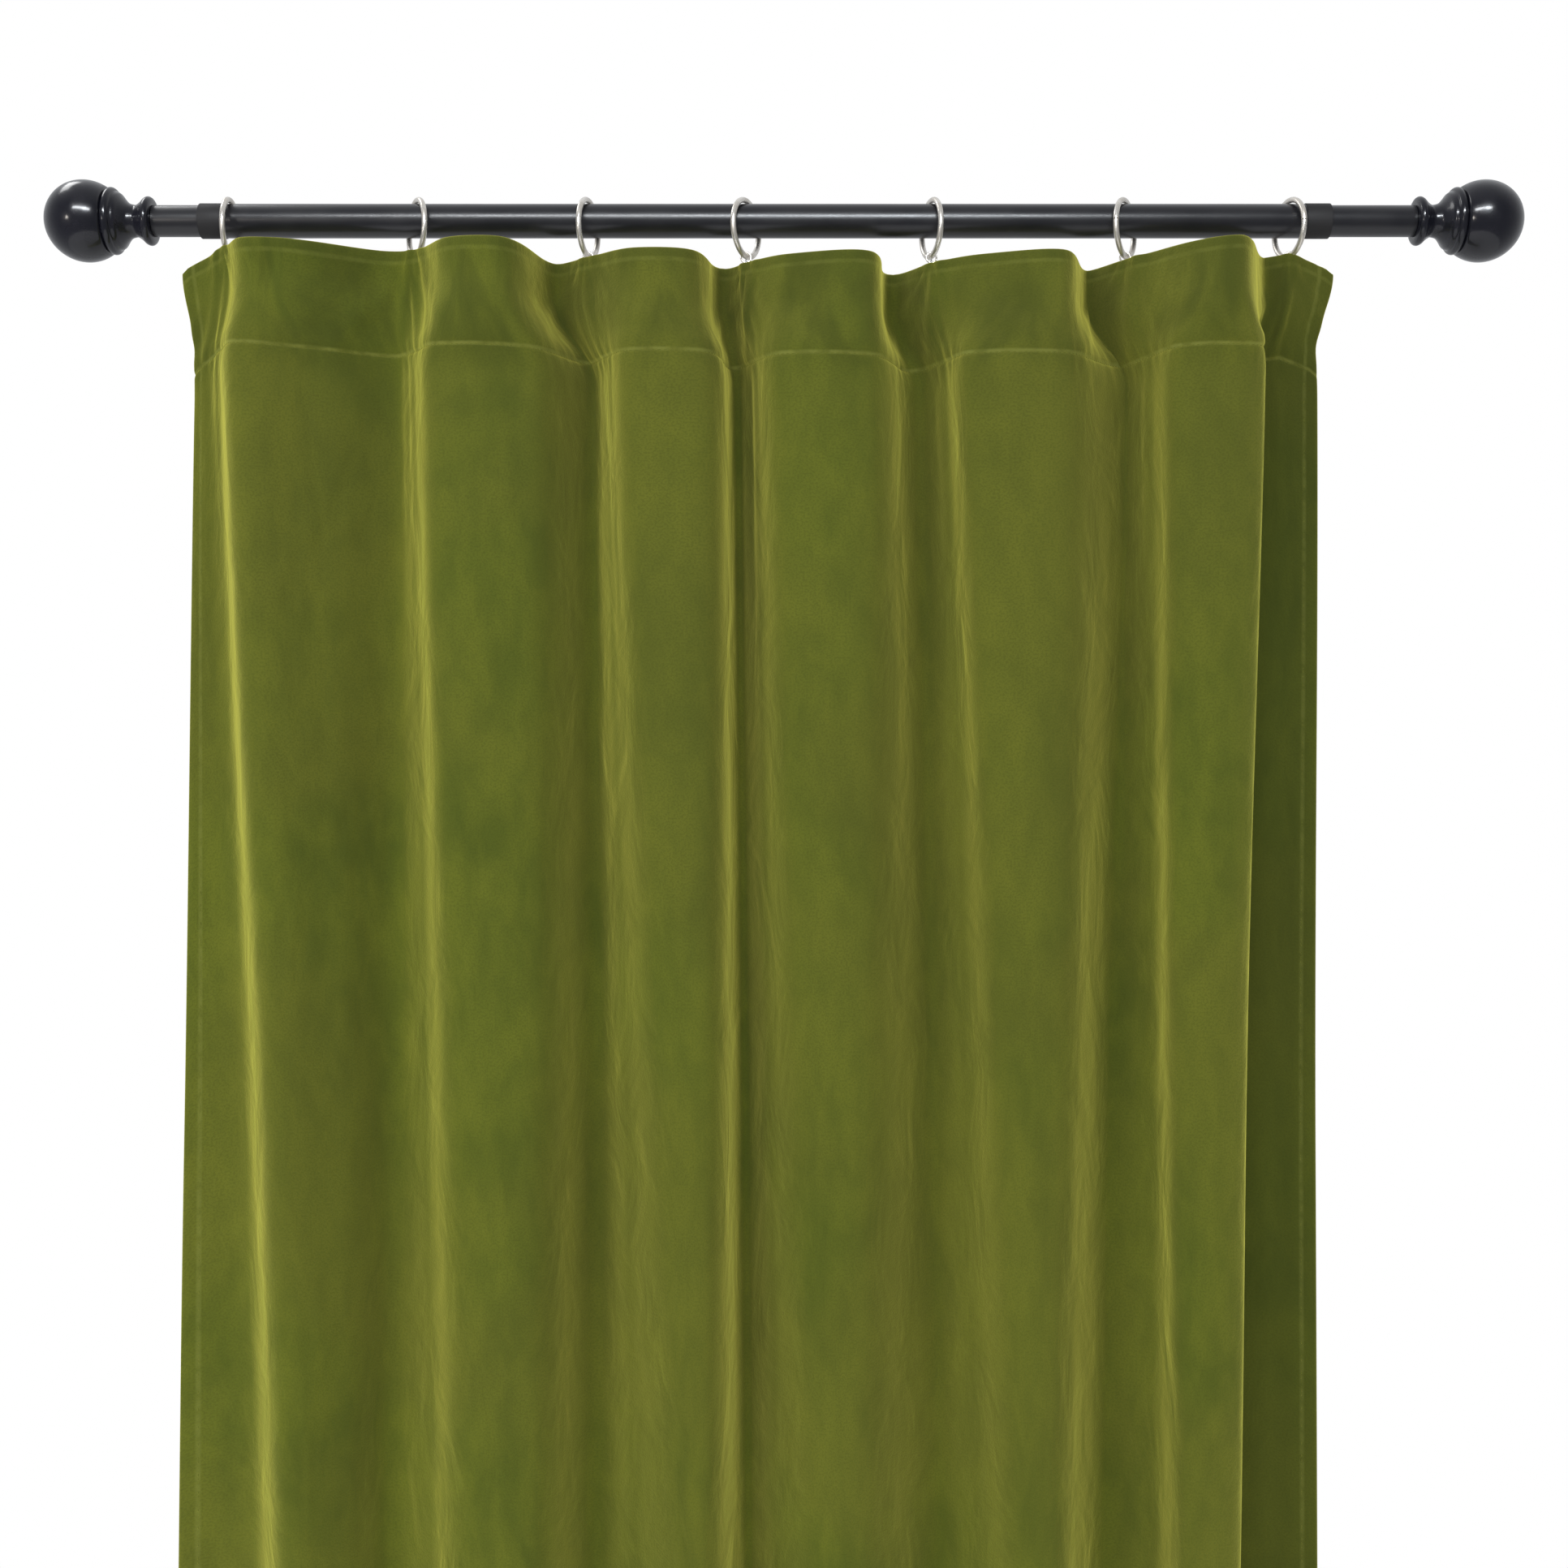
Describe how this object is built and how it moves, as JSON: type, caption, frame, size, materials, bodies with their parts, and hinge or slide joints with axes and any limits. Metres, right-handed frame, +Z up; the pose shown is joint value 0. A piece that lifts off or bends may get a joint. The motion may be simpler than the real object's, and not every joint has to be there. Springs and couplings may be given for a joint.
{
  "type": "window curtain on a rod",
  "caption": "Velvet curtain panel pinned to wire rings on a black telescoping rod with ball finials; it draws along the rod.",
  "frame": {"origin": "on the rod's axis, midway between the two finials' seats", "axes": "+X along the rod to the right as seen from the room, +Y towards the window, +Z up"},
  "size_m": [1.127, 0.1185, 2.1975],
  "materials": {
    "black_tube": "satin black powder coat",
    "black_plastic": "matte moulded",
    "black_lacquer": "gloss lacquer on turned resin",
    "satin_nickel": "satin nickel plate",
    "bright_steel": "bright zinc plate",
    "olive_velvet": "olive green cotton velvet"
  },
  "bodies": {
    "rod": {"centre_tube": "black_tube", "left_sleeve": "black_plastic", "right_sleeve": "black_plastic"},
    "left_end": {"left_end_tube": "black_tube", "left_tube_plug": "black_plastic"},
    "left_finial_screw": {"left_finial_stud": "bright_steel"},
    "left_finial": {"left_finial": "black_lacquer"},
    "right_end": {"right_end_tube": "black_tube", "right_tube_plug": "black_plastic"},
    "right_finial_screw": {"right_finial_stud": "bright_steel"},
    "right_finial": {"right_finial": "black_lacquer"},
    "eyelet_1": {"eyelet_1": "satin_nickel"},
    "ring_1": {"ring_1": "satin_nickel"},
    "eyelet_2": {"eyelet_2": "satin_nickel"},
    "ring_2": {"ring_2": "satin_nickel"},
    "eyelet_3": {"eyelet_3": "satin_nickel"},
    "ring_3": {"ring_3": "satin_nickel"},
    "eyelet_4": {"eyelet_4": "satin_nickel"},
    "ring_4": {"ring_4": "satin_nickel"},
    "eyelet_5": {"eyelet_5": "satin_nickel"},
    "ring_5": {"ring_5": "satin_nickel"},
    "eyelet_6": {"eyelet_6": "satin_nickel"},
    "ring_6": {"ring_6": "satin_nickel"},
    "eyelet_7": {"eyelet_7": "satin_nickel"},
    "ring_7": {"ring_7": "satin_nickel"},
    "curtain": {"curtain_panel": "olive_velvet", "heading_band": "olive_velvet", "bottom_hem": "olive_velvet", "left_side_hem": "olive_velvet", "right_side_hem": "olive_velvet", "hook_1": "bright_steel"},
    "hook_2": {"hook_2": "bright_steel"},
    "hook_3": {"hook_3": "bright_steel"},
    "hook_4": {"hook_4": "bright_steel"},
    "hook_5": {"hook_5": "bright_steel"},
    "hook_6": {"hook_6": "bright_steel"},
    "hook_7": {"hook_7": "bright_steel"}
  },
  "joints": [
    {"name": "left_end_extend", "type": "slide", "parent": "rod", "child": "left_end", "axis": [-1, 0, 0], "range_m": [-0.02, 0.25]},
    {"name": "left_finial_screw_out", "type": "slide", "parent": "left_end", "child": "left_finial_screw", "axis": [-1, 0, 0], "range_m": [0, 0.00501]},
    {"name": "left_finial_turn", "type": "hinge", "parent": "left_finial_screw", "child": "left_finial", "pos_m": [-0.481, 0, 0], "axis": [-1, 0, 0], "range_deg": [0, 1440]},
    {"name": "right_end_extend", "type": "slide", "parent": "rod", "child": "right_end", "axis": [1, 0, 0], "range_m": [-0.04, 0.25]},
    {"name": "right_finial_screw_out", "type": "slide", "parent": "right_end", "child": "right_finial_screw", "axis": [1, 0, 0], "range_m": [0, 0.00501]},
    {"name": "right_finial_turn", "type": "hinge", "parent": "right_finial_screw", "child": "right_finial", "pos_m": [0.481, 0, 0], "axis": [1, 0, 0], "range_deg": [0, 1440]},
    {"name": "curtain_travel", "type": "slide", "parent": "rod", "child": "eyelet_1", "axis": [1, 0, 0], "range_m": [-0.024, 0.036]},
    {"name": "curtain_draw", "type": "slide", "parent": "eyelet_1", "child": "eyelet_7", "axis": [1, 0, 0], "range_m": [-0.55, 0], "deforming": ["curtain_panel", "heading_band", "bottom_hem", "left_side_hem", "right_side_hem"]},
    {"name": "ring_2_slide", "type": "slide", "parent": "eyelet_1", "child": "eyelet_2", "axis": [1, 0, 0], "range_m": [-0.0968, 0]},
    {"name": "ring_3_slide", "type": "slide", "parent": "eyelet_1", "child": "eyelet_3", "axis": [1, 0, 0], "range_m": [-0.1859, 0]},
    {"name": "ring_4_slide", "type": "slide", "parent": "eyelet_1", "child": "eyelet_4", "axis": [1, 0, 0], "range_m": [-0.26785, 0]},
    {"name": "ring_5_slide", "type": "slide", "parent": "eyelet_1", "child": "eyelet_5", "axis": [1, 0, 0], "range_m": [-0.3641, 0]},
    {"name": "ring_6_slide", "type": "slide", "parent": "eyelet_1", "child": "eyelet_6", "axis": [1, 0, 0], "range_m": [-0.46475, 0]},
    {"name": "curtain_sway", "type": "hinge", "parent": "eyelet_1", "child": "curtain", "pos_m": [-0.423, 0, -0.0318], "axis": [1, 0, 0], "range_deg": [-8, 8]},
    {"name": "ring_1_swivel", "type": "hinge", "parent": "eyelet_1", "child": "ring_1", "pos_m": [-0.423, 0, 0], "axis": [0, 0, 1], "range_deg": [-30, 30]},
    {"name": "hook_2_swing", "type": "hinge", "parent": "eyelet_2", "child": "hook_2", "pos_m": [-0.28062, 0, -0.0318], "axis": [1, 0, 0], "range_deg": [-8.01, 8.01]},
    {"name": "ring_2_swivel", "type": "hinge", "parent": "eyelet_2", "child": "ring_2", "pos_m": [-0.28062, 0, 0], "axis": [0, 0, 1], "range_deg": [-57, 3]},
    {"name": "hook_3_swing", "type": "hinge", "parent": "eyelet_3", "child": "hook_3", "pos_m": [-0.14956, 0, -0.0318], "axis": [1, 0, 0], "range_deg": [-8.01, 8.01]},
    {"name": "ring_3_swivel", "type": "hinge", "parent": "eyelet_3", "child": "ring_3", "pos_m": [-0.14956, 0, 0], "axis": [0, 0, 1], "range_deg": [-16, 44]},
    {"name": "hook_4_swing", "type": "hinge", "parent": "eyelet_4", "child": "hook_4", "pos_m": [-0.02902, 0, -0.0318], "axis": [1, 0, 0], "range_deg": [-8.01, 8.01]},
    {"name": "ring_4_swivel", "type": "hinge", "parent": "eyelet_4", "child": "ring_4", "pos_m": [-0.02902, 0, 0], "axis": [0, 0, 1], "range_deg": [-4, 56]},
    {"name": "hook_5_swing", "type": "hinge", "parent": "eyelet_5", "child": "hook_5", "pos_m": [0.11256, 0, -0.0318], "axis": [1, 0, 0], "range_deg": [-8.01, 8.01]},
    {"name": "ring_5_swivel", "type": "hinge", "parent": "eyelet_5", "child": "ring_5", "pos_m": [0.11256, 0, 0], "axis": [0, 0, 1], "range_deg": [-45.5, 14.5]},
    {"name": "hook_6_swing", "type": "hinge", "parent": "eyelet_6", "child": "hook_6", "pos_m": [0.2606, 0, -0.0318], "axis": [1, 0, 0], "range_deg": [-8.01, 8.01]},
    {"name": "ring_6_swivel", "type": "hinge", "parent": "eyelet_6", "child": "ring_6", "pos_m": [0.2606, 0, 0], "axis": [0, 0, 1], "range_deg": [-1, 59]},
    {"name": "hook_7_swing", "type": "hinge", "parent": "eyelet_7", "child": "hook_7", "pos_m": [0.386, 0, -0.0318], "axis": [1, 0, 0], "range_deg": [-8.01, 8.01]},
    {"name": "ring_7_swivel", "type": "hinge", "parent": "eyelet_7", "child": "ring_7", "pos_m": [0.386, 0, 0], "axis": [0, 0, 1], "range_deg": [-46, 14]}
  ],
  "couplings": [
    {"joint": "left_finial_screw_out", "follows": "left_finial_turn", "m_per_rad": 0.00019894},
    {"joint": "right_finial_screw_out", "follows": "right_finial_turn", "m_per_rad": 0.00019894},
    {"joint": "ring_2_slide", "follows": "curtain_draw", "ratio": 0.176},
    {"joint": "ring_3_slide", "follows": "curtain_draw", "ratio": 0.338},
    {"joint": "ring_4_slide", "follows": "curtain_draw", "ratio": 0.487},
    {"joint": "ring_5_slide", "follows": "curtain_draw", "ratio": 0.662},
    {"joint": "ring_6_slide", "follows": "curtain_draw", "ratio": 0.845},
    {"joint": "hook_2_swing", "follows": "curtain_sway", "ratio": 1},
    {"joint": "hook_3_swing", "follows": "curtain_sway", "ratio": 1},
    {"joint": "hook_4_swing", "follows": "curtain_sway", "ratio": 1},
    {"joint": "hook_5_swing", "follows": "curtain_sway", "ratio": 1},
    {"joint": "hook_6_swing", "follows": "curtain_sway", "ratio": 1},
    {"joint": "hook_7_swing", "follows": "curtain_sway", "ratio": 1}
  ]
}
